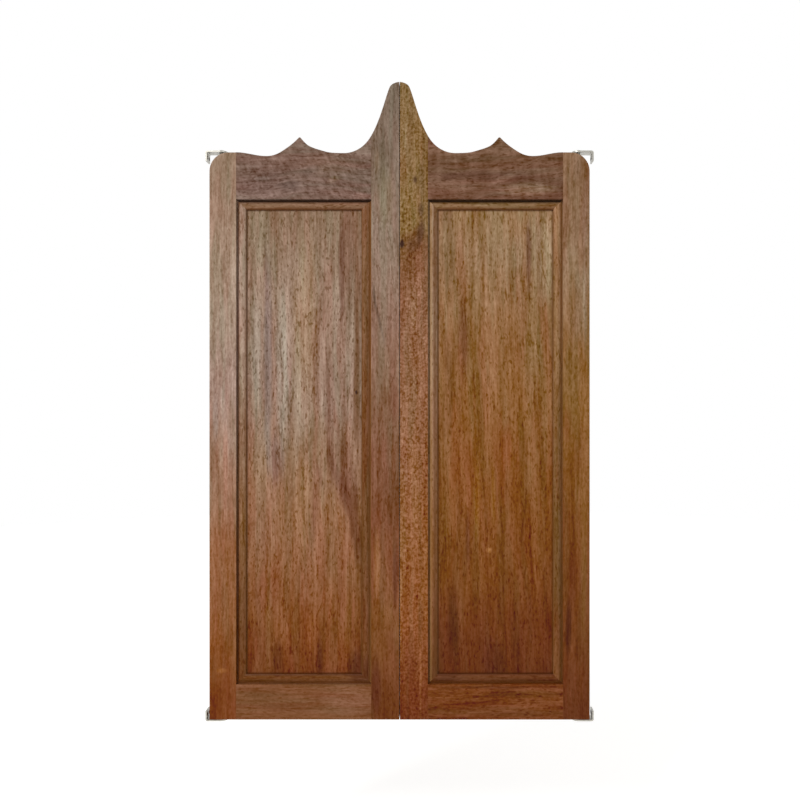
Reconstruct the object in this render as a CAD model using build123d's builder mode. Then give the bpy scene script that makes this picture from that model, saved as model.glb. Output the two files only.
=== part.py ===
# A pair of saloon doors: two framed and panelled leaves with a scrolled crest, each swinging both
# ways on a sprung pivot in its foot and a pin at its top. The jamb brackets are the fixed part.
# +Z is up, the fronts face -Y, and the origin is midway between the leaves, level with the
# underside of the bottom brackets. Lengths are in millimetres.
# One leaf, the left one, is modelled. The right one is its mirror image.
from build123d import *
from math import hypot
import os

os.makedirs("parts", exist_ok=True)

# Leaf
pair_width = 813.0
meeting_gap = 1.2
leaf_thick = 32.0
hinge_stile_width = 57.0
meeting_stile_width = 60.0
shoulder_height = 1212.5
top_rail_height = 100.5
bottom_rail_height = 75.0
arris_radius = 1.0

# Crest: heights from the shoulder over the hinge stile, and lengths along the top rail or back from
# the meeting edge
shoulder_radius = 40.0
valley_along = 65.0
valley_drop = 8.0
rise_along = 103.0
rise_height = 5.5
peak_along = 136.0
peak_rise = 33.5
peak_tip_radius = 3.0
fall_along = 154.0
fall_height = 15.0
ease_along = 181.0
ease_height = 4.5
scoop_before_edge = 118.0
scoop_drop = 1.7
flank_low_before_edge = 77.5
flank_low_rise = 13.8
flank_mid_before_edge = 53.5
flank_mid_rise = 47.5
flank_high_before_edge = 28.6
flank_high_rise = 116.0
temple_before_edge = 22.7
temple_rise = 134.0
brow_before_edge = 16.1
brow_rise = 144.8
horn_rise = 150.5
# How long the curve runs level at the horn's tip: less makes more of a dome
horn_tip_pull = 0.5

# Frame joints
tenon_thick = 12.0
tenon_shoulder = 15.0
tenon_web = 4.0
meeting_tenon_length = 40.0
mortise_fit = 0.1
mortise_end_gap = 1.0

# Panel and its planted beads
panel_thick = 12.0
groove_depth = 9.0
panel_play = 2.0
panel_fit = 0.1
bead_width = 20.5
bead_edge = 4.0
bead_crown = 7.0
quirk_width = 4.0
quirk_floor = 1.0

# Pivots and jamb brackets
pivot_setback = 22.0
jamb_clearance = 6.0
plate_thick = 3.0
plate_width = 28.0
plate_bend_radius = 2.0
flange_height = 22.0
screw_hole_height = 13.0
screw_hole_spacing = 14.0
screw_hole_radius = 2.75
screw_sink_radius = 5.0
top_bracket_gap = 1.5
running_fit = 0.05

# Spring pivot in the foot
washer_thick = 1.5
washer_radius = 11.0
case_radius = 10.0
case_wall = 1.5
case_height = 46.0
case_fit = 0.1
foot_plate_length = 40.0
foot_plate_width = 24.0
foot_plate_thick = 2.5
foot_plate_corner = 3.0
foot_screw_setback = 15.0
foot_screw_radius = 1.75
foot_screw_head_radius = 3.4
foot_screw_length = 13.0
cap_thick = 6.0
bush_length = 12.0
spindle_radius = 5.0
spindle_square = 6.8
spindle_length = 20.0
spring_radius = 6.5
spring_strip_thick = 1.0
spring_strip_width = 2.4
spring_turns = 4
spring_tail = 10.0
spring_end_fit = 0.2

# Top pin and its bush
top_seat_depth = 12.5
top_bush_radius = 6.5
top_bush_length = 32.0
top_bush_flange_radius = 9.0
top_bush_flange_thick = 2.0
pin_radius = 4.0
pin_reach = 26.0
pin_head_radius = 7.0
pin_head_height = 3.0

# Places worked out from the sizes above
foot = plate_thick + washer_thick
hinge_edge = -pair_width / 2
meeting_edge = -meeting_gap / 2
rail_start = hinge_edge + hinge_stile_width
rail_end = meeting_edge - meeting_stile_width
rail_length = rail_end - rail_start
panel_opening_height = shoulder_height - top_rail_height - bottom_rail_height
sill = foot + bottom_rail_height
head = sill + panel_opening_height
shoulder = foot + shoulder_height
horn_top = shoulder + horn_rise
pivot_x = hinge_edge + pivot_setback
jamb_x = hinge_edge - jamb_clearance - plate_thick
hinge_tenon_length = hinge_stile_width - pivot_setback - case_radius - tenon_web
top_tenon_height = top_rail_height - 2 * tenon_shoulder
bottom_tenon_height = bottom_rail_height - 2 * tenon_shoulder
groove_width = panel_thick + 2 * panel_fit


def keep(piece, name):
    """Label a piece, write it, and write its mirror image for the right leaf."""
    piece.label = f"left_{name}"
    export_step(piece, f"parts/left_{name}.step")
    with BuildPart() as twin:
        mirror(piece, about=Plane.YZ)
    twin.part.label = f"right_{name}"
    export_step(twin.part, f"parts/right_{name}.step")


# The leaf's outline is drawn once, and each timber of the frame takes its own stretch of it.
with BuildSketch() as leaf_outline:
    with BuildLine() as edge:
        shoulder_end = (hinge_edge + shoulder_radius, shoulder)
        valley = (rail_start + valley_along, shoulder - valley_drop)
        peak = (rail_start + peak_along, shoulder + peak_rise)
        scoop = (meeting_edge - scoop_before_edge, shoulder - scoop_drop)
        horn = (meeting_edge, horn_top)
        outer = Line((hinge_edge, foot), (hinge_edge, shoulder - shoulder_radius))
        corner = RadiusArc(outer @ 1, shoulder_end, shoulder_radius)
        cap_rail = Line(corner @ 1, (rail_start, shoulder))
        fall = Spline(cap_rail @ 1, valley, tangents=[(1, 0), (1, 0)])
        rise_point = (rail_start + rise_along, shoulder + rise_height)
        rise = Spline(fall @ 1, rise_point, peak, tangents=[(1, 0), (0.65, 0.76)])
        fall_point = (rail_start + fall_along, shoulder + fall_height)
        ease_point = (rail_start + ease_along, shoulder + ease_height)
        drop = Spline(rise @ 1, fall_point, ease_point, scoop, tangents=[(0.65, -0.76), (1, 0)])
        flank_low = (meeting_edge - flank_low_before_edge, shoulder + flank_low_rise)
        flank_mid = (meeting_edge - flank_mid_before_edge, shoulder + flank_mid_rise)
        flank_high = (meeting_edge - flank_high_before_edge, shoulder + flank_high_rise)
        temple = (meeting_edge - temple_before_edge, shoulder + temple_rise)
        brow = (meeting_edge - brow_before_edge, shoulder + brow_rise)
        flank = Spline(scoop, flank_low, flank_mid, flank_high, temple, brow, horn,
                       tangents=[(1, 0), (1, 0)], tangent_scalars=[1, horn_tip_pull])
        Polyline(horn, (meeting_edge, foot), (hinge_edge, foot))
    make_face()
    fillet(leaf_outline.vertices().sort_by_distance(peak)[0], radius=peak_tip_radius)

# Hinge stile
with BuildPart() as hinge_stile:
    with BuildSketch(Plane.XZ) as hinge_stile_blank:
        add(leaf_outline.sketch)
        with Locations((hinge_edge, foot)):
            Rectangle(hinge_stile_width, horn_top, align=Align.MIN, mode=Mode.INTERSECT)
    extrude(amount=leaf_thick / 2, both=True)
    # Edges that a hand meets: the outer side and the top
    outer_side = hinge_stile.edges().filter_by(Axis.Z).group_by(Axis.X)[0]
    fillet(outer_side, radius=arris_radius)
    # Groove for the panel
    with Locations((rail_start, 0, sill - groove_depth)):
        Box(groove_depth, groove_width, panel_opening_height + 2 * groove_depth,
            align=(Align.MAX, Align.CENTER, Align.MIN), mode=Mode.SUBTRACT)
    # Mortises for the rails
    with Locations((rail_start, 0, foot + tenon_shoulder - mortise_fit)):
        Box(hinge_tenon_length + mortise_end_gap, tenon_thick + 2 * mortise_fit,
            bottom_tenon_height + 2 * mortise_fit,
            align=(Align.MAX, Align.CENTER, Align.MIN), mode=Mode.SUBTRACT)
    with Locations((rail_start, 0, head + tenon_shoulder - mortise_fit)):
        Box(hinge_tenon_length + mortise_end_gap, tenon_thick + 2 * mortise_fit,
            top_tenon_height + 2 * mortise_fit,
            align=(Align.MAX, Align.CENTER, Align.MIN), mode=Mode.SUBTRACT)
    # Foot: the spring case, its plate let in flush, and its screws
    with BuildSketch(Plane.XY.offset(foot)) as case_hole:
        with Locations((pivot_x, 0)):
            Circle(case_radius + case_fit)
    extrude(amount=case_height + mortise_end_gap, mode=Mode.SUBTRACT)
    with BuildSketch(Plane.XY.offset(foot)) as foot_plate_seat:
        with Locations((pivot_x, 0)):
            RectangleRounded(foot_plate_length + 2 * case_fit, foot_plate_width + 2 * case_fit,
                             foot_plate_corner)
    extrude(amount=foot_plate_thick, mode=Mode.SUBTRACT)
    with BuildSketch(Plane.XY.offset(foot)) as foot_screw_holes:
        with Locations((pivot_x - foot_screw_setback, 0), (pivot_x + foot_screw_setback, 0)):
            Circle(foot_screw_radius)
    extrude(amount=foot_screw_length, mode=Mode.SUBTRACT)
    # Top: a flat seat and a bore for the bush
    with BuildSketch(Plane.XY.offset(shoulder - top_seat_depth)) as top_seat:
        with Locations((pivot_x, 0)):
            Circle(top_bush_flange_radius + case_fit)
    extrude(amount=top_seat_depth, mode=Mode.SUBTRACT)
    with BuildSketch(Plane.XY.offset(shoulder - top_seat_depth)) as top_bore:
        with Locations((pivot_x, 0)):
            Circle(top_bush_radius)
    extrude(amount=-top_bush_length, mode=Mode.SUBTRACT)
keep(hinge_stile.part, "hinge_stile")

# Meeting stile, rising into the horn
with BuildPart() as meeting_stile:
    with BuildSketch(Plane.XZ) as meeting_stile_blank:
        add(leaf_outline.sketch)
        with Locations((rail_end, foot)):
            Rectangle(meeting_stile_width, horn_top, align=Align.MIN, mode=Mode.INTERSECT)
    extrude(amount=leaf_thick / 2, both=True)
    meeting_side = meeting_stile.edges().filter_by(Axis.Z).group_by(Axis.X)[-1]
    fillet(meeting_side, radius=arris_radius)
    with Locations((rail_end, 0, sill - groove_depth)):
        Box(groove_depth, groove_width, panel_opening_height + 2 * groove_depth,
            align=(Align.MIN, Align.CENTER, Align.MIN), mode=Mode.SUBTRACT)
    with Locations((rail_end, 0, foot + tenon_shoulder - mortise_fit)):
        Box(meeting_tenon_length + mortise_end_gap, tenon_thick + 2 * mortise_fit,
            bottom_tenon_height + 2 * mortise_fit,
            align=(Align.MIN, Align.CENTER, Align.MIN), mode=Mode.SUBTRACT)
    with Locations((rail_end, 0, head + tenon_shoulder - mortise_fit)):
        Box(meeting_tenon_length + mortise_end_gap, tenon_thick + 2 * mortise_fit,
            top_tenon_height + 2 * mortise_fit,
            align=(Align.MIN, Align.CENTER, Align.MIN), mode=Mode.SUBTRACT)
keep(meeting_stile.part, "meeting_stile")

# Top rail, with the peak of the crest
with BuildPart() as top_rail:
    with BuildSketch(Plane.XZ) as top_rail_blank:
        add(leaf_outline.sketch)
        with Locations((rail_start, head)):
            Rectangle(rail_length, horn_top, align=Align.MIN, mode=Mode.INTERSECT)
    extrude(amount=leaf_thick / 2, both=True)
    with Locations((rail_start, 0, head)):
        Box(rail_length, groove_width, groove_depth,
            align=(Align.MIN, Align.CENTER, Align.MIN), mode=Mode.SUBTRACT)
    with Locations((rail_start - hinge_tenon_length, 0, head + tenon_shoulder)):
        Box(hinge_tenon_length + rail_length + meeting_tenon_length, tenon_thick, top_tenon_height,
            align=(Align.MIN, Align.CENTER, Align.MIN))
keep(top_rail.part, "top_rail")

# Bottom rail
with BuildPart() as bottom_rail:
    with Locations((rail_start, 0, foot)):
        Box(rail_length, leaf_thick, bottom_rail_height,
            align=(Align.MIN, Align.CENTER, Align.MIN))
    with Locations((rail_start, 0, sill)):
        Box(rail_length, groove_width, groove_depth,
            align=(Align.MIN, Align.CENTER, Align.MAX), mode=Mode.SUBTRACT)
    with Locations((rail_start - hinge_tenon_length, 0, foot + tenon_shoulder)):
        Box(hinge_tenon_length + rail_length + meeting_tenon_length, tenon_thick, bottom_tenon_height,
            align=(Align.MIN, Align.CENTER, Align.MIN))
keep(bottom_rail.part, "bottom_rail")

# Panel: a flat board that stands in the bottom groove and is free to move in the other three
panel_tongue = groove_depth - panel_play
with BuildPart() as panel:
    with Locations((rail_start - panel_tongue, 0, sill - groove_depth)):
        Box(rail_length + 2 * panel_tongue, panel_thick, panel_opening_height + groove_depth + panel_tongue,
            align=(Align.MIN, Align.CENTER, Align.MIN))
keep(panel.part, "panel")

# Beads: crowned strips planted on the panel against the frame, mitred at the corners. Beside the
# crown runs a quirk, the narrow groove that keeps it off the frame. Seen from the front, the corners
# go round the opening from the bottom one at the hinge stile.
outer_corners = (Vector(rail_start, 0, sill), Vector(rail_end, 0, sill),
                 Vector(rail_end, 0, head), Vector(rail_start, 0, head))
mitre_reach = (Vector(bead_width, 0, bead_width), Vector(-bead_width, 0, bead_width),
               Vector(-bead_width, 0, -bead_width), Vector(bead_width, 0, -bead_width))
for corner_index, bead_name in enumerate(("bottom_bead", "meeting_bead", "top_bead", "hinge_bead")):
    next_index = (corner_index + 1) % len(outer_corners)
    run_start = outer_corners[corner_index]
    run_end = outer_corners[next_index]
    run = run_end - run_start
    bead_plane = Plane(run_start, x_dir=(-run.Z, 0, run.X), z_dir=run)
    for face_name, outward in (("front", 1), ("back", -1)):
        back_y = outward * panel_thick / 2
        quirk_y = outward * (panel_thick / 2 + quirk_floor)
        edge_y = outward * (panel_thick / 2 + bead_edge)
        crown_point = ((quirk_width + bead_width) / 2, outward * (panel_thick / 2 + bead_crown))
        with BuildPart() as bead:
            with BuildSketch(bead_plane) as bead_section:
                with BuildLine():
                    Polyline((quirk_width, edge_y), (quirk_width, quirk_y), (0, quirk_y), (0, back_y),
                             (bead_width, back_y), (bead_width, edge_y))
                    ThreePointArc((bead_width, edge_y), crown_point, (quirk_width, edge_y))
                make_face()
            extrude(amount=run.length)
            with BuildSketch(Plane.XZ) as mitred_outline:
                with BuildLine():
                    mitre_start = run_start + mitre_reach[corner_index]
                    mitre_end = run_end + mitre_reach[next_index]
                    Polyline((run_start.X, run_start.Z), (run_end.X, run_end.Z),
                             (mitre_end.X, mitre_end.Z), (mitre_start.X, mitre_start.Z), close=True)
                make_face()
            extrude(amount=leaf_thick / 2, both=True, mode=Mode.INTERSECT)
        keep(bead.part, f"{face_name}_{bead_name}")

# Jamb brackets: a bent plate with a round-ended shelf for the pivot and a flange on the jamb
shelf_reach = pivot_x + plate_width / 2 - jamb_x


def jamb_bracket(shelf_z, up):
    """A bracket whose shelf's pivot side is at shelf_z, with its flange going up (1) or down (-1)."""
    outside_z = shelf_z - up * plate_thick
    with BuildPart() as bracket:
        with BuildSketch(Plane.XZ) as angle_section:
            with BuildLine():
                FilletPolyline((jamb_x + plate_thick, outside_z + up * flange_height),
                               (jamb_x + plate_thick, shelf_z), (jamb_x + shelf_reach, shelf_z),
                               radius=plate_bend_radius)
                Line((jamb_x + shelf_reach, shelf_z), (jamb_x + shelf_reach, outside_z))
                FilletPolyline((jamb_x + shelf_reach, outside_z), (jamb_x, outside_z),
                               (jamb_x, outside_z + up * flange_height),
                               radius=plate_bend_radius + plate_thick)
                Line((jamb_x, outside_z + up * flange_height),
                     (jamb_x + plate_thick, outside_z + up * flange_height))
            make_face()
        extrude(amount=plate_width / 2, both=True)
        shelf_corners = bracket.edges().filter_by(Axis.Z).group_by(Axis.X)[-1]
        fillet(shelf_corners, radius=plate_width / 2 - case_fit)
        # Two screw holes side by side, so that the screws hold against the spring's twist
        hole_z = outside_z + up * screw_hole_height
        with Locations(Plane((jamb_x + plate_thick, -screw_hole_spacing / 2, hole_z), z_dir=(1, 0, 0)),
                       Plane((jamb_x + plate_thick, screw_hole_spacing / 2, hole_z), z_dir=(1, 0, 0))):
            CounterSinkHole(screw_hole_radius, screw_sink_radius, depth=plate_thick)
    return bracket.part


with BuildPart() as bottom_bracket:
    add(jamb_bracket(foot - washer_thick, 1))
    with Locations((pivot_x, 0, 0)):
        Box(spindle_square, spindle_square, plate_thick,
            align=(Align.CENTER, Align.CENTER, Align.MIN), mode=Mode.SUBTRACT)
keep(bottom_bracket.part, "bottom_bracket")

top_shelf = shoulder + top_bracket_gap
with BuildPart() as top_bracket:
    add(jamb_bracket(top_shelf, -1))
    with BuildSketch(Plane.XY.offset(top_shelf)) as pin_hole:
        with Locations((pivot_x, 0)):
            Circle(pin_radius + running_fit)
    extrude(amount=plate_thick, mode=Mode.SUBTRACT)
keep(top_bracket.part, "top_bracket")

# Thrust washer that the leaf turns on
with BuildPart() as thrust_washer:
    with BuildSketch(Plane.XY.offset(plate_thick)):
        with Locations((pivot_x, 0)):
            Circle(washer_radius)
            Circle(spindle_radius + running_fit, mode=Mode.SUBTRACT)
    extrude(amount=washer_thick)
keep(thrust_washer.part, "thrust_washer")

# Spindle: a square tail held in the bracket's shelf, and a round shaft with an axial hole for the
# spring's tail
spindle_top = plate_thick + spindle_length
with BuildPart() as pivot_spindle:
    with Locations((pivot_x, 0, 0)):
        Box(spindle_square, spindle_square, plate_thick, align=(Align.CENTER, Align.CENTER, Align.MIN))
    with BuildSketch(Plane.XY.offset(plate_thick)):
        with Locations((pivot_x, 0)):
            Circle(spindle_radius)
    extrude(amount=spindle_length)
    with BuildSketch(Plane.XY.offset(spindle_top)):
        with Locations((pivot_x, 0)):
            Circle(hypot(spring_strip_width, spring_strip_thick) / 2 + spring_end_fit)
    extrude(amount=-spring_tail, mode=Mode.SUBTRACT)
keep(pivot_spindle.part, "pivot_spindle")

# Spring case: a tube with a foot plate, let into the stile
case_bore = case_radius - case_wall
with BuildPart() as spring_case:
    with BuildSketch(Plane.XY.offset(foot)):
        with Locations((pivot_x, 0)):
            RectangleRounded(foot_plate_length, foot_plate_width, foot_plate_corner)
    extrude(amount=foot_plate_thick)
    with BuildSketch(Plane.XY.offset(foot)):
        with Locations((pivot_x, 0)):
            Circle(case_radius)
    extrude(amount=case_height)
    with BuildSketch(Plane.XY.offset(foot)):
        with Locations((pivot_x, 0)):
            Circle(case_bore)
    extrude(amount=case_height, mode=Mode.SUBTRACT)
    with Locations(Plane((pivot_x - foot_screw_setback, 0, foot), z_dir=(0, 0, -1)),
                   Plane((pivot_x + foot_screw_setback, 0, foot), z_dir=(0, 0, -1))):
        CounterSinkHole(foot_screw_radius, foot_screw_head_radius, depth=foot_plate_thick)
keep(spring_case.part, "spring_case")

# Bush that the spindle runs in
with BuildPart() as foot_bush:
    with BuildSketch(Plane.XY.offset(foot)):
        with Locations((pivot_x, 0)):
            Circle(case_bore)
            Circle(spindle_radius + running_fit, mode=Mode.SUBTRACT)
    extrude(amount=bush_length)
keep(foot_bush.part, "foot_bush")

# Cap in the top of the case, with a notch that holds the spring's upper end
cap_z = foot + case_height - cap_thick
with BuildPart() as case_cap:
    with BuildSketch(Plane.XY.offset(cap_z)):
        with Locations((pivot_x, 0)):
            Circle(case_bore)
        with Locations((pivot_x + spring_radius - spring_strip_thick / 2 - spring_end_fit, 0)):
            Rectangle(case_bore, spring_strip_width + 2 * spring_end_fit, align=(Align.MIN, Align.CENTER),
                      mode=Mode.SUBTRACT)
    extrude(amount=cap_thick)
keep(case_cap.part, "case_cap")

# Countersunk screws of the foot plate
with BuildPart() as foot_screws:
    for screw_side in (-1, 1):
        screw_x = pivot_x + screw_side * foot_screw_setback
        with BuildSketch(Plane.XZ) as screw_section:
            with BuildLine():
                sink_depth = foot_screw_head_radius - foot_screw_radius
                Polyline((screw_x, foot), (screw_x + foot_screw_head_radius, foot),
                         (screw_x + foot_screw_radius, foot + sink_depth),
                         (screw_x + foot_screw_radius, foot + foot_screw_length),
                         (screw_x, foot + foot_screw_length), close=True)
            make_face()
        revolve(axis=Axis((screw_x, 0, 0), (0, 0, 1)))
keep(foot_screws.part, "foot_screws")

# Torsion spring, wound from flat strip: its lower end is turned down into the spindle's axial hole,
# and its upper end up into the cap's notch
spring_start = spindle_top + spring_strip_width / 2 + spring_end_fit
spring_end = cap_z - spring_strip_width / 2 - spring_end_fit
with BuildPart() as torsion_spring:
    with BuildLine() as coil_line:
        coil = Helix((spring_end - spring_start) / spring_turns, spring_end - spring_start, spring_radius,
                     center=(pivot_x, 0, spring_start))
    with BuildSketch(Plane(origin=coil @ 0, x_dir=(1, 0, 0), z_dir=coil % 0)):
        Rectangle(spring_strip_thick, spring_strip_width)
    sweep(path=coil, is_frenet=True)
    with Locations((pivot_x - spring_strip_width / 2, 0, spring_start)):
        Box((spring_strip_width + spring_strip_thick) / 2 + spring_radius, spring_strip_thick,
            spring_strip_width, align=(Align.MIN, Align.CENTER, Align.CENTER))
    with Locations((pivot_x, 0, spring_start)):
        Box(spring_strip_width, spring_strip_thick, spring_start - spindle_top + spring_tail - spring_end_fit,
            align=(Align.CENTER, Align.CENTER, Align.MAX))
    with Locations((pivot_x + spring_radius, 0, spring_end - spring_strip_width / 2)):
        Box(spring_strip_thick, spring_strip_width, foot + case_height - spring_end + spring_strip_width / 2,
            align=(Align.CENTER, Align.CENTER, Align.MIN))
keep(torsion_spring.part, "torsion_spring")

# Flanged bush in the top of the hinge stile
bush_seat = shoulder - top_seat_depth
with BuildPart() as top_bush:
    with BuildSketch(Plane.XY.offset(bush_seat)):
        with Locations((pivot_x, 0)):
            Circle(top_bush_flange_radius)
    extrude(amount=top_bush_flange_thick)
    with BuildSketch(Plane.XY.offset(bush_seat)):
        with Locations((pivot_x, 0)):
            Circle(top_bush_radius)
    extrude(amount=-top_bush_length)
    with BuildSketch(Plane.XY.offset(bush_seat + top_bush_flange_thick)):
        with Locations((pivot_x, 0)):
            Circle(pin_radius + running_fit)
    extrude(amount=-top_bush_length, mode=Mode.SUBTRACT)
keep(top_bush.part, "top_bush")

# Headed pin, dropped through the top bracket into the bush
pin_head_seat = top_shelf + plate_thick
with BuildPart() as top_pin:
    with BuildSketch(Plane.XY.offset(pin_head_seat)):
        with Locations((pivot_x, 0)):
            Circle(pin_head_radius)
    extrude(amount=pin_head_height)
    chamfer(top_pin.edges().group_by(Axis.Z)[-1], length=arris_radius)
    with BuildSketch(Plane.XY.offset(pin_head_seat)):
        with Locations((pivot_x, 0)):
            Circle(pin_radius)
    extrude(amount=-(pin_head_seat - bush_seat + pin_reach))
keep(top_pin.part, "top_pin")
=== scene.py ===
# A pair of saloon doors in varnished hardwood: two framed and panelled leaves that swing both ways
# between four jamb brackets. Metres, +Z up, fronts face -Y, the left leaf at negative X.
import math

import bpy
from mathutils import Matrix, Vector


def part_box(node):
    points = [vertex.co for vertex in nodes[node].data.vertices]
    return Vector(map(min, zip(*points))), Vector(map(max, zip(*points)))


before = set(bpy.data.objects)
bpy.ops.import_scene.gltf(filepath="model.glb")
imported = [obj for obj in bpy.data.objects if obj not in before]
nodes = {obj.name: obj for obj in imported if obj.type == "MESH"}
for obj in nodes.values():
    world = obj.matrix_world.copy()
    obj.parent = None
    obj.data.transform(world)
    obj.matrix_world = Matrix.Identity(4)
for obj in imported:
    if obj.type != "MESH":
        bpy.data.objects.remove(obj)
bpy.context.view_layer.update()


# Hinge stiles. Open-pored reddish hardwood sawn with an upright grain, planed, sanded and given
# two coats of satin varnish. Each is one length of 57 by 32 mm, its outer corner rounded over.
def linear(hex_colour):
    """The linear colour for a written sRGB one."""
    parts = [int(hex_colour[i:i + 2], 16) / 255 for i in (1, 3, 5)]
    return [p / 12.92 if p <= 0.04045 else ((p + 0.055) / 1.055) ** 2.4 for p in parts] + [1.0]


def set_inputs(node, inputs):
    """Set a node's inputs to values, or link them to the outputs of other nodes."""
    for name, value in inputs.items():
        if isinstance(value, bpy.types.NodeSocket):
            node.id_data.links.new(value, node.inputs[name])
        else:
            node.inputs[name].default_value = value


def add_node(material, kind, inputs=None, stops=None, **settings):
    """Add a node with its settings and inputs, and give a colour ramp its stops."""
    node = material.node_tree.nodes.new(kind)
    for name, value in settings.items():
        setattr(node, name, value)
    set_inputs(node, inputs or {})
    if stops:
        ramp = node.color_ramp.elements
        while len(ramp) < len(stops):
            ramp.new(1.0)
        for element, (position, hex_colour) in zip(ramp, stops):
            element.position = position
            element.color = linear(hex_colour)
    return node


def new_finish(name):
    """A new material, its shader, and the place on the piece in metres."""
    material = bpy.data.materials.new(name)
    material.use_nodes = True
    shader = material.node_tree.nodes["Principled BSDF"]
    place = add_node(material, "ShaderNodeTexCoord").outputs["Object"]
    return material, shader, place


def varnished_timber(name, grain, tones, start, figure=1.0, fleck=1.0, extra=(), lean=0.0,
                     tilt=0.0, sway=0.014, patches=(), lines=()):
    """Open-pored hardwood under satin varnish: bands, streaks and fibres along the grain, short
    dark pores, a drift of tone over its height, partly the wood's own and partly painted sheen and
    light that is paler and greyer at the head, and casts between grey-green and rose.
    grain: the axis that it runs along; tones: (height_mm, colour), from the foot up
    start: where in the tree the board was cut; sway: how far its grain wanders, in metres
    lean: how far the grain leans, in degrees; tilt: how far the tones climb for a metre across
    figure, fleck: how strongly the figure and the pores show
    extra: further layers of figure, (across_mm, along_mm, turn in degrees, share)
    patches: (x_mm, z_mm, half width, half length, lean in degrees, colour, strength)
    lines: (axis, place_mm, reach_mm, colour, strength), painted shade and painted light along the
    beads, with some pooled varnish"""
    timber, shader, place = new_finish(name)
    axes = add_node(timber, "ShaderNodeSeparateXYZ", {"Vector": place}).outputs

    # Each board is cut from its own stretch of tree, and its grain wanders a little
    own = add_node(timber, "ShaderNodeMapping", {
        "Vector": place, "Location": start,
        "Rotation": (0.0, math.radians(lean), 0.0)}).outputs["Vector"]
    bends_per_metre = 6.0
    wander = add_node(timber, "ShaderNodeTexNoise", {
        "Vector": own, "Scale": bends_per_metre, "Detail": 1.0})
    swayed = add_node(timber, "ShaderNodeVectorMath", {
        0: wander.outputs["Color"], 1: (0.5, 0.5, 0.5)}, operation="SUBTRACT")
    grown = add_node(timber, "ShaderNodeVectorMath", {
        0: swayed.outputs["Vector"], 1: (sway, sway, sway), 2: own},
        operation="MULTIPLY_ADD").outputs["Vector"]

    def figure_noise(across_mm, along_mm, detail, turn=0.0):
        """Noise whose grains are this many millimetres across and along the grain."""
        size = [1000 / across_mm] * 3
        size["XYZ".index(grain)] = 1000 / along_mm
        turned = add_node(timber, "ShaderNodeMapping", {
            "Vector": grown, "Rotation": (0.0, math.radians(turn), 0.0)}).outputs["Vector"]
        drawn_out = add_node(timber, "ShaderNodeMapping", {
            "Vector": turned, "Scale": size}).outputs["Vector"]
        return add_node(timber, "ShaderNodeTexNoise", {
            "Vector": drawn_out, "Scale": 1.0, "Detail": detail, "Roughness": 0.55}).outputs["Fac"]

    bands = figure_noise(20, 420, 2)
    streaks = figure_noise(8, 150, 2)
    fibres = figure_noise(3.8, 34, 1)
    clouds = figure_noise(45, 110, 2)

    # Tone over the height, in metres: partly the wood's own drift and partly painted sheen and
    # light, paler and greyer towards the head. The clouds shift its edges up and down by half of
    # cloud_reach
    cloud_reach, tones_top = 0.22, 1.4
    cloud_shift = add_node(timber, "ShaderNodeMath", {
        0: clouds, 1: cloud_reach, 2: axes["Z"]}, operation="MULTIPLY_ADD")
    tilted = add_node(timber, "ShaderNodeMath", {
        0: axes["X"], 1: -tilt, 2: cloud_shift.outputs["Value"]}, operation="MULTIPLY_ADD")
    height_share = add_node(timber, "ShaderNodeMapRange", {
        "Value": tilted.outputs["Value"],
        "From Min": cloud_reach / 2, "From Max": cloud_reach / 2 + tones_top})
    colour = add_node(
        timber, "ShaderNodeValToRGB", {"Fac": height_share.outputs["Result"]},
        stops=[(height_mm / 1000 / tones_top, hex_colour)
               for height_mm, hex_colour in tones]).outputs["Color"]

    # Patches that the tree left, and on the beads a painted shade in their lower corners. They fade
    # from solid_part to faded_out of their own size, with an edge that the streaks draw out, and
    # run straight through the board
    raggedness, solid_part, faded_out = 0.9, 0.3, 1.2
    for x_mm, z_mm, half_width, half_length, turn, patch_colour, strength in patches:
        centred = add_node(timber, "ShaderNodeMapping", {
            "Vector": place, "Location": (x_mm / 1000, 0.0, z_mm / 1000),
            "Rotation": (0.0, math.radians(turn), 0.0),
            "Scale": (half_width / 1000, 1000.0, half_length / 1000)}, vector_type="TEXTURE")
        reach = add_node(timber, "ShaderNodeVectorMath", {
            0: centred.outputs["Vector"]}, operation="LENGTH")
        ragged = add_node(timber, "ShaderNodeMath", {
            0: streaks, 1: raggedness, 2: reach.outputs["Value"]}, operation="MULTIPLY_ADD")
        fade = add_node(timber, "ShaderNodeMapRange", {
            "Value": ragged.outputs["Value"],
            "From Min": raggedness / 2 + solid_part, "From Max": raggedness / 2 + faded_out,
            "To Min": strength, "To Max": 0.0}, interpolation_type="SMOOTHSTEP")
        colour = add_node(timber, "ShaderNodeMix", {
            0: fade.outputs["Result"], 6: colour, 7: linear(patch_colour)},
            data_type="RGBA").outputs[2]

    # Grey-green and rose casts that run along the grain
    for cast, tint in ((figure_noise(20, 260, 2), "#f3fbf7"),
                       (figure_noise(26, 200, 2), "#fbf0ee")):
        share = add_node(timber, "ShaderNodeMapRange", {
            "Value": cast, "From Min": 0.45, "From Max": 0.62}, interpolation_type="SMOOTHSTEP")
        colour = add_node(timber, "ShaderNodeMix", {
            0: share.outputs["Result"], 6: colour, 7: linear(tint)},
            data_type="RGBA", blend_type="MULTIPLY").outputs[2]

    # Light and dark of the figure: (layer, share), each swinging the light as far up as down
    layers = [(bands, 1.25), (streaks, 1.15), (fibres, 0.9), (figure_noise(4.2, 8, 1), 0.9)]
    layers += [(figure_noise(across_mm, along_mm, 1, turn), share)
               for across_mm, along_mm, turn, share in extra]
    light = 1.0
    for layer, share in layers:
        swing = share * figure
        light = add_node(timber, "ShaderNodeMath", {
            0: layer, 1: swing, 2: light}, operation="MULTIPLY_ADD").outputs["Value"]
        light = add_node(timber, "ShaderNodeMath", {
            0: light, 1: swing / 2}, operation="SUBTRACT").outputs["Value"]

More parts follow.
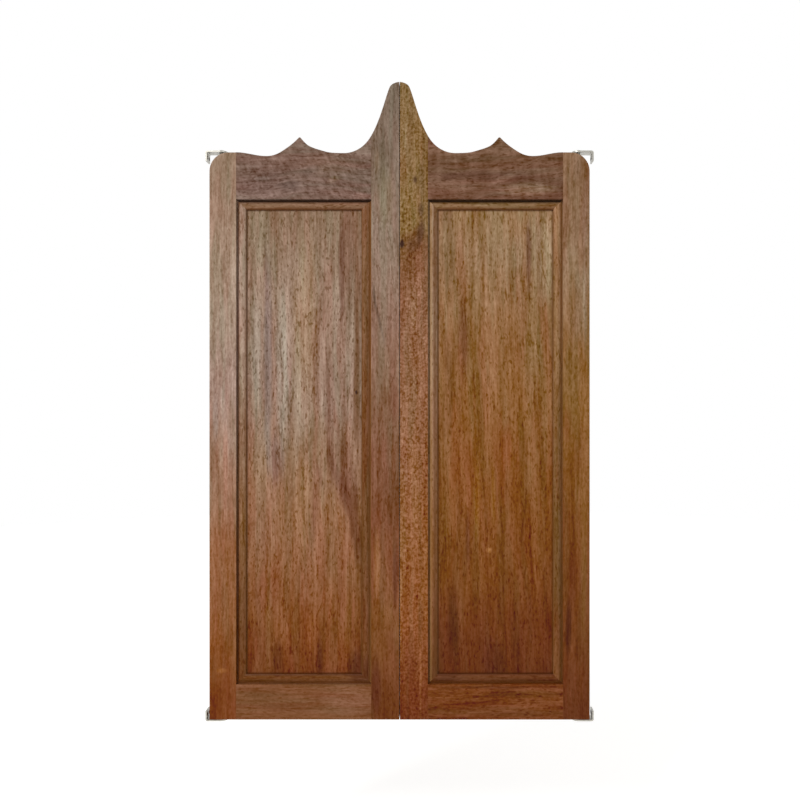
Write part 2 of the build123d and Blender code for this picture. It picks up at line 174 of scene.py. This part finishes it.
    # Pores: real ones are 0.2 to 0.4 mm wide, drawn about 3 mm wide so that they show
    pore_darkening, pore_dulling, pore_depth = 0.45, 0.12, 0.0002
    pore = add_node(timber, "ShaderNodeMapRange", {
        "Value": figure_noise(3.8, 12, 1), "From Min": 0.57, "From Max": 0.70},
        interpolation_type="SMOOTHSTEP").outputs["Result"]
    pore_light = add_node(timber, "ShaderNodeMath", {
        0: pore, 1: -pore_darkening * fleck, 2: 1.0},
        operation="MULTIPLY_ADD").outputs["Value"]
    light = add_node(timber, "ShaderNodeMath", {
        0: light, 1: pore_light}, operation="MULTIPLY").outputs["Value"]

    # Half of that light and dark is grey, because the real wood's hue is evener than its light
    grey_share = 0.5
    grey = add_node(timber, "ShaderNodeRGBToBW", {"Color": colour}).outputs["Val"]
    swung = add_node(timber, "ShaderNodeMix", {
        0: grey_share, 6: colour, 7: grey}, data_type="RGBA").outputs[2]
    change = add_node(timber, "ShaderNodeMath", {
        0: light, 1: 1.0}, operation="SUBTRACT").outputs["Value"]
    shade = add_node(timber, "ShaderNodeVectorMath", {
        0: swung, "Scale": change}, operation="SCALE")
    colour = add_node(timber, "ShaderNodeVectorMath", {
        0: colour, 1: shade.outputs["Vector"]}, operation="ADD").outputs["Vector"]

    # Lines along the beads, which fade out on both sides: painted shade and painted light, and
    # pooled varnish beside the beads
    for axis, place_mm, reach_mm, line_colour, strength in lines:
        off_line = add_node(timber, "ShaderNodeMath", {
            0: axes[axis], 1: place_mm / 1000}, operation="SUBTRACT")
        away = add_node(timber, "ShaderNodeMath", {
            0: off_line.outputs["Value"]}, operation="ABSOLUTE")
        line_share = add_node(timber, "ShaderNodeMapRange", {
            "Value": away.outputs["Value"], "From Min": 0.0, "From Max": reach_mm / 1000,
            "To Min": strength, "To Max": 0.0}, interpolation_type="SMOOTHSTEP")
        colour = add_node(timber, "ShaderNodeMix", {
            0: line_share.outputs["Result"], 6: colour, 7: linear(line_colour)},
            data_type="RGBA").outputs[2]

    # Varnish: satin, a little duller in the pores, and too thin to fill them
    gloss = add_node(timber, "ShaderNodeMapRange", {
        "Value": clouds, "From Min": 0.3, "From Max": 0.7, "To Min": 0.38, "To Max": 0.46})
    dulled = add_node(timber, "ShaderNodeMath", {
        0: pore, 1: pore_dulling, 2: gloss.outputs["Result"]}, operation="MULTIPLY_ADD")
    open_pores = add_node(timber, "ShaderNodeBump", {
        "Height": pore, "Strength": 0.5, "Distance": pore_depth}, invert=True)
    set_inputs(shader, {
        "Base Color": colour, "Roughness": dulled.outputs["Value"], "IOR": 1.5,
        "Specular IOR Level": 0.12, "Normal": open_pores.outputs["Normal"]})
    return timber


def finish_node(node_name, material):
    """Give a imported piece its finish."""
    for slot in nodes[node_name].material_slots:
        slot.material = material


# Fawn, with rose and brown streaks, a paler outer edge and a pale scar near the foot
finish_node("left_hinge_stile", varnished_timber(
    "left hinge stile, fawn hardwood, satin varnish", "Z", start=(0.31, 0.07, 0.43),
    figure=0.85, fleck=0.45,
    tones=((40, "#793f13"), (170, "#895127"), (330, "#956342"), (520, "#98735b"),
           (720, "#a28779"), (900, "#a18976"), (1000, "#9b806c"), (1200, "#8f7661")),
    patches=((-380, 109, 13, 6, 0, "#9a602f", 0.8),
             (-372, 540, 7, 120, 0, "#a26d58", 0.5),
             (-378, 965, 7, 45, 0, "#8a6c57", 0.7),
             (-393, 885, 8, 60, 0, "#ad9685", 0.6),
             (-378, 515, 6, 50, 0, "#8b6247", 0.5),
             (-393, 650, 8, 60, 0, "#b09d93", 0.5),
             (-361, 650, 8, 60, 0, "#866750", 0.5),
             (-362, 180, 8, 50, 0, "#74400f", 0.5))))
# Golden, with a pale outer edge and dark red-brown streaks near the foot
finish_node("right_hinge_stile", varnished_timber(
    "right hinge stile, golden hardwood, satin varnish", "Z", start=(1.17, 0.61, 0.19),
    figure=0.95, fleck=0.6,
    tones=((40, "#662e04"), (200, "#723d0e"), (420, "#7a4717"), (680, "#875b2a"),
           (830, "#8f6640"), (980, "#917256"), (1160, "#846348")),
    patches=((370, 300, 8, 75, 0, "#68310f", 0.6),
             (394, 350, 9, 190, 0, "#835c22", 0.45),
             (385, 900, 12, 90, 0, "#8d7a62", 0.4),
             (396, 1070, 7, 90, 0, "#a48a76", 0.6),
             (396, 910, 7, 110, 0, "#a28c76", 0.6),
             (380, 1190, 9, 40, 0, "#70513a", 0.5),
             (362, 200, 8, 70, 0, "#4f2106", 0.75))))


# Meeting stiles. The same hardwood, 60 by 32 mm, each running up into its horn in one piece. The
# left board is greyer, and the right one honey-coloured at the top with a fine fleck below.
finish_node("left_meeting_stile", varnished_timber(
    "left meeting stile, taupe hardwood, satin varnish", "Z", start=(2.23, 0.11, 0.77),
    figure=0.9, fleck=0.8, extra=((45, 160, 0, 0.9),),
    tones=((40, "#6a360b"), (220, "#814f26"), (430, "#824f35"), (560, "#825840"),
           (700, "#88674f"), (840, "#8f715f"), (1000, "#927867"), (1120, "#857060"),
           (1200, "#7c6757"), (1330, "#776455")),
    patches=(
        # Two thin slanting marks
        (-54, 910, 3, 30, -6, "#5f4a3a", 0.7),
        (-44, 860, 3.5, 60, -13, "#6b5446", 0.7),
        # Olive, rose and brown drifts, and the dark foot
        (-30, 1120, 22, 70, 0, "#87795f", 0.5),
        (-14, 700, 10, 120, 0, "#7a4e38", 0.5),
        (-8, 680, 12, 50, 0, "#75412c", 0.4),
        (-12, 565, 8, 40, 0, "#8e6148", 0.5),
        (-10, 1240, 8, 60, 0, "#725546", 0.6),
        (-48, 330, 9, 80, 0, "#a8744f", 0.7),
        (-48, 760, 9, 120, 0, "#9a7c68", 0.4),
        (-48, 1196, 8, 30, 0, "#8d7762", 0.5),
        (-9, 320, 8, 80, 0, "#613520", 0.65),
        (-50, 75, 14, 75, 0, "#582407", 0.75))))
finish_node("right_meeting_stile", varnished_timber(
    "right meeting stile, honey hardwood, satin varnish", "Z", start=(3.41, 0.83, 0.29),
    figure=0.9, fleck=0.8, tilt=0.58, extra=((5, 5, 0, 1.9), (8, 5, 35, 0.9)),
    tones=((20, "#703206"), (200, "#8b5225"), (380, "#926036"), (600, "#926445"),
           (840, "#8f6348"), (980, "#7c5334"), (1020, "#7f5b39"), (1050, "#876840"),
           (1200, "#84643d"), (1330, "#80643f")),
    patches=(
        # Two small knots
        (5, 1021, 7, 10, 0, "#34180a", 1.0),
        (33, 1158, 6, 11, 0, "#4d3016", 0.9),
        # A pale streak in the horn, and the dark wedge between the honey and the russet
        (12, 1250, 7, 60, 0, "#9c8060", 0.5),
        (46, 1094, 8, 20, 0, "#553a20", 0.75),
        (45, 1046, 11, 34, 12, "#563820", 0.85),
        (28, 1018, 17, 17, 0, "#5f3c22", 0.6),
        # Pale and brown drifts along its length
        (42, 930, 12, 44, 0, "#a27c61", 0.55),
        (30, 880, 9, 50, 0, "#a47e62", 0.6),
        (13, 530, 8, 45, 0, "#a47c60", 0.5),
        (13, 345, 8, 45, 0, "#a3704e", 0.5),
        (47, 1160, 8, 60, 0, "#6c5231", 0.5),
        (45, 220, 7, 50, 0, "#6f3d17", 0.5),
        (45, 90, 3, 100, 0, "#9b6236", 0.4),
        (3, 260, 3, 170, 0, "#a9754c", 0.6))))


# Top rails. Sawn with the grain along them from curly boards, their upper edge cut to the scroll
# and sanded, and tenoned into both stiles. Light and dark curls run across the grain.
finish_node("left_top_rail", varnished_timber(
    "left top rail, cocoa hardwood, satin varnish", "X", start=(0.53, 0.37, 1.31),
    sway=0.03, figure=0.85, extra=((14, 6, 28, 1.3), (30, 12, 40, 0.8)),
    tones=((1100, "#765c51"), (1250, "#796153")),
    patches=((-300, 1150, 60, 30, 0, "#6d5249", 0.5),
             (-150, 1190, 70, 25, 0, "#836654", 0.4),
             (-235, 1146, 30, 16, 0, "#5a443b", 0.7),
             (-192, 1178, 26, 13, -20, "#634c40", 0.65),
             (-140, 1160, 15, 8, -20, "#8b7462", 0.6),
             (-294, 1160, 24, 7, 0, "#816e64", 0.6),
             (-80, 1124, 22, 8, 0, "#8f7367", 0.6))))
finish_node("right_top_rail", varnished_timber(
    "right top rail, dark rose hardwood, satin varnish", "X", start=(1.91, 0.23, 0.67),
    sway=0.03, extra=((40, 14, 8, 1.2),),
    tones=((1100, "#6c4a37"), (1250, "#74533d")),
    patches=((200, 1165, 130, 14, 0, "#5c3828", 0.6),
             (105, 1163, 26, 9, -10, "#573421", 0.7),
             (155, 1174, 42, 6, -6, "#5c3725", 0.6),
             (120, 1198, 18, 8, 0, "#83604e", 0.5),
             (222, 1160, 40, 8, -24, "#8a6a58", 0.75),
             (275, 1137, 72, 16, 0, "#957661", 0.85))))


# Bottom rails. The same hardwood, 75 by 32 mm with the grain along them, planed and sanded, and
# tenoned into both stiles.
finish_node("left_bottom_rail", varnished_timber(
    "left bottom rail, soft brown hardwood, satin varnish", "X", start=(2.71, 0.47, 0.13),
    figure=0.85, fleck=0.6,
    tones=((10, "#794a28"), (90, "#7f5031")),
    patches=((-110, 45, 60, 34, 0, "#92664b", 0.6),
             (-290, 60, 50, 16, 0, "#6c3f1a", 0.5))))
finish_node("right_bottom_rail", varnished_timber(
    "right bottom rail, umber hardwood, satin varnish", "X", start=(0.97, 0.59, 1.73),
    figure=1.25,
    tones=((10, "#733c14"), (90, "#7d451a")),
    patches=((200, 73, 120, 4, 0, "#512809", 0.4),)))


# Panels. Flat boards 12 mm thick with an upright grain, loose in the grooves of their frames. A
# brown line is painted along the beads: painted shade in the corner, and varnish pooled there.
line_reach = 4.5
bead_edges = {}
for side, near, far in (("left", "hinge", "meeting"), ("right", "meeting", "hinge")):
    near_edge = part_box(f"{side}_front_{near}_bead")[1].x * 1000
    far_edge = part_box(f"{side}_front_{far}_bead")[0].x * 1000
    bottom_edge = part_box(f"{side}_front_bottom_bead")[1].z * 1000
    top_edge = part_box(f"{side}_front_top_bead")[0].z * 1000
    bead_edges[side] = (("X", near_edge, line_reach, "#663c10", 0.6),
                        ("X", far_edge, line_reach, "#663c10", 0.6),
                        ("Z", bottom_edge, line_reach, "#4c2204", 0.65),
                        ("Z", top_edge, line_reach, "#65360a", 0.75))
finish_node("left_panel", varnished_timber(
    "left panel, mushroom hardwood, satin varnish", "Z", start=(1.33, 0.71, 0.59),
    lines=bead_edges["left"], fleck=1.1,
    tones=((90, "#763c11"), (200, "#834c22"), (330, "#905f3e"), (450, "#946a4b"),
           (560, "#957056"), (700, "#977a68"), (900, "#957b68"), (1100, "#876c55")),
    patches=(
        # A mauve-grey streak with pale wood round it on the left, and warmer wood beside them
        (-283, 790, 11, 260, 0, "#7f6e68", 0.7),
        (-268, 560, 20, 60, 0, "#866b64", 0.5),
        (-252, 730, 20, 190, 0, "#ab9a8b", 0.75),
        (-308, 1030, 20, 90, 0, "#836f58", 0.6),
        (-306, 780, 18, 150, 0, "#9a8a7a", 0.7),
        (-203, 850, 30, 230, 0, "#a5876a", 0.6),
        (-154, 840, 16, 170, 0, "#8c6a56", 0.6),
        # A rose-brown band at the upper right, and dark wood along the meeting bead
        (-112, 985, 19, 170, 0, "#7d5b47", 0.85),
        (-125, 960, 8, 130, 0, "#6f4a3b", 0.5),
        (-92, 800, 9, 340, 0, "#6d4729", 0.9),
        # A slanting dark band at mid height, with a light line down its left side
        (-150, 690, 16, 120, 0, "#7d5c4b", 0.6),
        (-122, 540, 34, 90, -12, "#7c5541", 0.6),
        (-128, 505, 14, 85, -19, "#6e4431", 0.55),
        (-136, 640, 7, 50, -6, "#7d503b", 0.6),
        (-171, 522, 7, 34, -12, "#7e543c", 0.6),
        (-125, 405, 4.5, 70, -9, "#a07150", 0.6),
        (-93, 475, 6, 42, 0, "#67371a", 0.6),
        (-100, 430, 15, 110, -8, "#643518", 0.75),
        # Brown and pale streaks from mid height down
        (-190, 445, 14, 95, 0, "#774a30", 0.65),
        (-190, 187, 14, 50, 0, "#9a623a", 0.5),
        (-206, 680, 26, 90, 0, "#ab907c", 0.5),
        (-112, 215, 12, 60, 0, "#8a5a32", 0.6),
        (-205, 470, 22, 120, 0, "#9c7450", 0.5),
        (-295, 430, 30, 110, 0, "#966b54", 0.4),
        (-300, 270, 16, 60, 0, "#834a2c", 0.6),
        (-283, 190, 6, 90, 0, "#9b6940", 0.5),
        (-300, 160, 26, 70, 0, "#743a12", 0.5),
        (-150, 260, 22, 60, 0, "#965a35", 0.5),
        # Dark flames at the foot
        (-262, 135, 12, 50, 0, "#5e2f11", 0.6),
        (-172, 130, 8, 60, 0, "#5a2712", 0.6),
        (-92, 115, 20, 45, 0, "#55260a", 0.7),
        # A pin knot
        (-93.5, 704, 2.5, 5, 0, "#3a1e14", 1.0))))
finish_node("right_panel", varnished_timber(
    "right panel, russet hardwood, satin varnish", "Z", start=(3.07, 0.41, 1.09), lean=1.5,
    lines=bead_edges["right"],
    tones=((90, "#663006"), (200, "#6e3609"), (330, "#7d4818"), (520, "#865122"),
           (700, "#8d5f34"), (850, "#906640"), (1000, "#987556"), (1110, "#947350")),
    patches=(
        # Greyer wood down the right, with one brown streak in it
        (300, 990, 30, 110, 0, "#948064", 0.7),
        (285, 850, 26, 200, 0, "#957652", 0.6),
        (285, 560, 30, 150, 0, "#8c6437", 0.5),
        (277, 1005, 7, 85, 0, "#704b38", 0.7),
        # Darker wood along the meeting bead, and paler wood at the upper right
        (104, 1000, 18, 120, 0, "#7c5a38", 0.7),
        (102, 700, 12, 220, 0, "#7c532c", 0.6),
        (316, 1005, 14, 120, 0, "#aa9272", 0.75),
        (254, 1003, 14, 50, 0, "#9f8468", 0.5),
        (100, 1086, 14, 32, 0, "#704c2c", 0.5),
        (100, 432, 13, 60, 0, "#8f5f37", 0.65),
        # Red-brown and golden streaks
        (292, 350, 24, 110, 0, "#875124", 0.5),
        (137, 815, 14, 95, 0, "#78452b", 0.6),
        (166, 470, 7, 90, 0, "#9e6d3a", 0.7),
        (201, 480, 6, 80, 0, "#996938", 0.65),
        (146, 385, 6, 80, 0, "#633413", 0.7),
        (230, 580, 12, 60, 0, "#97562a", 0.5),
        # A pale fleck, and the dark foot
        (192, 365, 7, 8, 0, "#b8814f", 0.7),
        (200, 130, 28, 50, 0, "#5a2507", 0.6),
        (112, 200, 20, 90, 0, "#532709", 0.5))))


# Beads. Crowned strips 20.5 mm wide with a quirk beside the frame, in hardwood of the same run as
# the leaf, planted on both faces of each panel and mitred at the corners. Painted shade darkens the
# quirk under the top rail, the hinge quirk of the left leaf, the inner half of the right leaf's
# meeting bead and the lower corners. Painted light makes paler the quirks that face the lamp,
# the bottom quirks and the outer half of the right leaf's meeting bead.
top_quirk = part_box("left_front_top_bead")[1].z * 1000
bottom_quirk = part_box("left_front_bottom_bead")[0].z * 1000
left_hinge_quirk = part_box("left_front_hinge_bead")[0].x * 1000
left_meeting_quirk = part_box("left_front_meeting_bead")[1].x * 1000
right_meeting_quirk = -left_meeting_quirk
right_hinge_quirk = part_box("right_front_hinge_bead")[1].x * 1000
painted_quirk_light_and_shade = {
    "left_hinge": (("X", left_hinge_quirk + 3, 5.0, "#5a2606", 0.6),),
    "left_meeting": (("X", left_meeting_quirk - 2.5, 4.5, "#ad743c", 0.9),),
    "right_meeting": (("X", right_meeting_quirk + 15, 6.5, "#60360c", 0.7),
                      ("X", right_meeting_quirk + 5, 6.0, "#aa8050", 0.5)),
    "right_hinge": (("X", right_hinge_quirk - 2.5, 4.5, "#9a6430", 0.7),),
    "level": (("Z", top_quirk - 3, 8.0, "#220b00", 0.9),
              ("Z", bottom_quirk + 3, 4.0, "#985c2c", 0.6))}
# The uprights run from a red-brown foot to a paler head, partly painted sheen, and the ones that
# face the lamp are painted palest, as lit copies of the shaded ones
upright_tones = {
    "left_hinge": ((150, "#6e3f1a"), (440, "#86603f"), (860, "#9f8674")),
    "left_meeting": ((150, "#744622"), (740, "#7c5436")),
    "right_meeting": ((150, "#703f1a"), (400, "#8c5e39"), (920, "#9b8167")),
    "right_hinge": ((150, "#73441b"), (760, "#8f6a45"))}
level_tones = {"left": ((90, "#73431e"), (1105, "#805d43")),
               "right": ((90, "#693816"), (1105, "#80603f"))}
# Painted shade in the lower corners of the beads, laid on as patches
painted_corner_shade = {"left": ((-85, 105, 32, 45, 0, "#55260a", 0.7),),
                "right": ((100, 105, 40, 55, 0, "#4e2106", 0.5),)}
for side, start_x in (("left", 4.1), ("right", 5.3)):
    level_wood = varnished_timber(
        f"{side} level beads, hardwood, satin varnish", "X", start=(start_x, 0.8, 0.2),
        tones=level_tones[side], patches=painted_corner_shade[side],
        lines=bead_edges[side][2:] + painted_quirk_light_and_shade["level"])
    for face in ("front", "back"):
        for level in ("top", "bottom"):
            finish_node(f"{side}_{face}_{level}_bead", level_wood)
    for edge, start_y in (("hinge", 0.3), ("meeting", 1.7)):
        upright_wood = varnished_timber(
            f"{side} {edge} beads, hardwood, satin varnish", "Z", start=(start_x, start_y, 0.9),
            tones=upright_tones[f"{side}_{edge}"], patches=painted_corner_shade[side],
            lines=bead_edges[side][:2] + painted_quirk_light_and_shade[f"{side}_{edge}"])
        for face in ("front", "back"):
            finish_node(f"{side}_{face}_{edge}_bead", upright_wood)


# Jamb brackets, top pins, spindles, spring cases and their caps. Mild steel, cut, bent or turned,
# then zinc plated, which leaves a pale grey with soft cloudy spangle about 7 mm across, glossier
# where it is paler.
zinc, zinc_shader, zinc_place = new_finish("zinc plated steel")
zinc_cloud = add_node(zinc, "ShaderNodeTexNoise", {
    "Vector": zinc_place, "Scale": 140.0, "Detail": 3.0, "Roughness": 0.6}).outputs["Fac"]
zinc_colour = add_node(zinc, "ShaderNodeValToRGB", {"Fac": zinc_cloud},
                       stops=((0.3, "#a09d94"), (0.7, "#bcb9b0")))
zinc_gloss = add_node(zinc, "ShaderNodeMapRange", {
    "Value": zinc_cloud, "From Min": 0.3, "From Max": 0.7, "To Min": 0.42, "To Max": 0.28})
set_inputs(zinc_shader, {"Base Color": zinc_colour.outputs["Color"],
                         "Roughness": zinc_gloss.outputs["Result"], "Metallic": 1.0})
for side in ("left", "right"):
    for piece in ("bottom_bracket", "top_bracket", "top_pin", "pivot_spindle", "spring_case",
                  "case_cap"):
        finish_node(f"{side}_{piece}", zinc)


# Foot plate screws. Drawn steel wire with its heads turned bright, driven up into the foot of the
# stile. Turning leaves lines round them about 0.1 mm apart, drawn 0.33 mm apart so that they show.
bright_steel, bright_shader, bright_place = new_finish("bright drawn steel")
drawn = add_node(bright_steel, "ShaderNodeMapping", {
    "Vector": bright_place, "Scale": (400.0, 400.0, 3000.0)})
drawn_lines = add_node(bright_steel, "ShaderNodeTexNoise", {
    "Vector": drawn.outputs["Vector"], "Scale": 1.0, "Detail": 2.0}).outputs["Fac"]
bright_colour = add_node(bright_steel, "ShaderNodeValToRGB", {"Fac": drawn_lines},
                         stops=((0.3, "#85827d"), (0.7, "#a19e98")))
set_inputs(bright_shader, {"Base Color": bright_colour.outputs["Color"],
                           "Metallic": 1.0, "Roughness": 0.3})
for side in ("left", "right"):
    finish_node(f"{side}_foot_screws", bright_steel)


# Torsion springs. Flat spring steel strip 2.4 by 1 mm, wound cold in four turns, tempered to a
# blue-black and oiled. The temper colour changes every 4 to 5 mm.
blued, blued_shader, blued_place = new_finish("tempered spring steel, oiled")
temper = add_node(blued, "ShaderNodeTexNoise", {
    "Vector": blued_place, "Scale": 220.0, "Detail": 2.0}).outputs["Fac"]
blued_colour = add_node(blued, "ShaderNodeValToRGB", {"Fac": temper},
                        stops=((0.35, "#3d3f47"), (0.65, "#55524f")))
set_inputs(blued_shader, {"Base Color": blued_colour.outputs["Color"],
                          "Metallic": 1.0, "Roughness": 0.36})
for side in ("left", "right"):
    finish_node(f"{side}_torsion_spring", blued)


# Bushes of the foot and the top. Bronze powder pressed and sintered, then pushed into its seat. It
# is matt, with open grains of 0.1 mm, drawn 0.5 mm across so that they show.
grain_across = 0.0005
sintered, sintered_shader, sintered_place = new_finish("sintered bronze")
powder = add_node(sintered, "ShaderNodeTexVoronoi", {
    "Vector": sintered_place, "Scale": 1 / grain_across}).outputs["Distance"]
sintered_colour = add_node(sintered, "ShaderNodeValToRGB", {"Fac": powder},
                           stops=((0.1, "#9c7740"), (0.7, "#7d5b2d")))
grains = add_node(sintered, "ShaderNodeBump", {
    "Height": powder, "Strength": 0.3, "Distance": 0.0001})
set_inputs(sintered_shader, {"Base Color": sintered_colour.outputs["Color"],
                             "Normal": grains.outputs["Normal"],
                             "Metallic": 1.0, "Roughness": 0.48})
for side in ("left", "right"):
    for piece in ("foot_bush", "top_bush"):
        finish_node(f"{side}_{piece}", sintered)


# Thrust washers. Natural nylon, turned from bar and laid on the bottom brackets for the leaves to
# turn on. It is off-white and slightly waxy, with faint clouds about 3 mm across.
nylon, nylon_shader, nylon_place = new_finish("natural nylon, turned")
nylon_cloud = add_node(nylon, "ShaderNodeTexNoise", {
    "Vector": nylon_place, "Scale": 300.0, "Detail": 1.0}).outputs["Fac"]
nylon_colour = add_node(nylon, "ShaderNodeValToRGB", {"Fac": nylon_cloud},
                        stops=((0.35, "#cfccc0"), (0.65, "#dad7cc")))
set_inputs(nylon_shader, {"Base Color": nylon_colour.outputs["Color"],
                          "Roughness": 0.45, "IOR": 1.53})
for side in ("left", "right"):
    finish_node(f"{side}_thrust_washer", nylon)


# Floor: plain and pale, 300 mm below the hanging doors. Its own glow lifts it to white for the
# camera where no shadow lies, and it keeps the doors' faint shadow.
floor_drop = 0.30
floor_radius = 6.0
floor_glow = 0.61
bpy.ops.object.select_all(action="DESELECT")
bpy.ops.mesh.primitive_circle_add(vertices=96, radius=floor_radius, fill_type="NGON",
                                  location=(0.0, 0.0, -floor_drop))
floor = bpy.context.object
floor.name = "floor"


def seen_directly(owner):
    """1 for a ray from the camera, also by way of a mirror or glass, and 0 for any other."""
    path = add_node(owner, "ShaderNodeLightPath").outputs
    mirrored = add_node(owner, "ShaderNodeMath", {
        0: path["Is Camera Ray"], 1: path["Is Glossy Ray"]}, operation="MAXIMUM")
    return add_node(owner, "ShaderNodeMath", {
        0: mirrored.outputs["Value"], 1: path["Is Transmission Ray"]},
        operation="MAXIMUM").outputs["Value"]


pale_paint = bpy.data.materials.new("pale floor paint")
pale_paint.use_nodes = True
glow = add_node(pale_paint, "ShaderNodeMath", {
    0: seen_directly(pale_paint), 1: floor_glow}, operation="MULTIPLY")
set_inputs(pale_paint.node_tree.nodes["Principled BSDF"], {
    "Base Color": linear("#e4e3e0"), "Roughness": 0.8, "Specular IOR Level": 0.2,
    "Emission Color": linear("#ffffff"), "Emission Strength": glow.outputs["Value"]})
floor.data.materials.append(pale_paint)

# Studio air: a white surround, which the camera sees at full strength and which lights the doors
# evenly at half strength
surround_light = 0.5
world = bpy.data.worlds.new("white surround")
bpy.context.scene.world = world
world.use_nodes = True
surround = add_node(world, "ShaderNodeMapRange", {
    "Value": seen_directly(world), "To Min": surround_light, "To Max": 1.0})
set_inputs(world.node_tree.nodes["Background"], {
    "Color": linear("#ffffff"), "Strength": surround.outputs["Result"]})

# Two soft lamps: the main one from high on the left, which shades the rebates as in the
# photograph, and a weak one from the right
for lamp_name, stand, aim, size, watts in (
        ("main softbox", (-2.2, -3.0, 3.4), (0.0, 0.0, 0.7), 1.6, 125.0),
        ("fill softbox", (2.8, -3.2, 1.2), (0.0, 0.0, 0.6), 2.0, 15.0)):
    lamp_data = bpy.data.lights.new(lamp_name, "AREA")
    lamp_data.shape = "SQUARE"
    lamp_data.size = size
    lamp_data.energy = watts
    lamp = bpy.data.objects.new(lamp_name, lamp_data)
    bpy.context.collection.objects.link(lamp)
    lamp.location = stand
    towards = Vector(aim) - Vector(stand)
    lamp.rotation_euler = towards.to_track_quat("-Z", "Y").to_euler()

# Camera: square on to the doors from about two metres. It stands a hand's width right of their
# middle, where the meeting gap closes to a dark line as in the photograph, and its shift takes
# that up. view_width is what the picture spans at the doors' faces.
view_width = 1.7098
camera_distance = 1.9
camera_offset = 0.085
picture_middle_x, picture_middle_z = 0.00096, 0.6875
front_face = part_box("left_meeting_stile")[0].y
camera_data = bpy.data.cameras.new("camera")
camera_data.sensor_width = 36.0
camera_data.lens = camera_data.sensor_width * camera_distance / view_width
camera_data.shift_x = -camera_offset / view_width
camera = bpy.data.objects.new("camera", camera_data)
bpy.context.collection.objects.link(camera)
camera.location = (picture_middle_x + camera_offset, front_face - camera_distance,
                   picture_middle_z)
camera.rotation_euler = (math.radians(90), 0.0, 0.0)
bpy.context.scene.camera = camera
bpy.context.scene.view_settings.view_transform = "Standard"
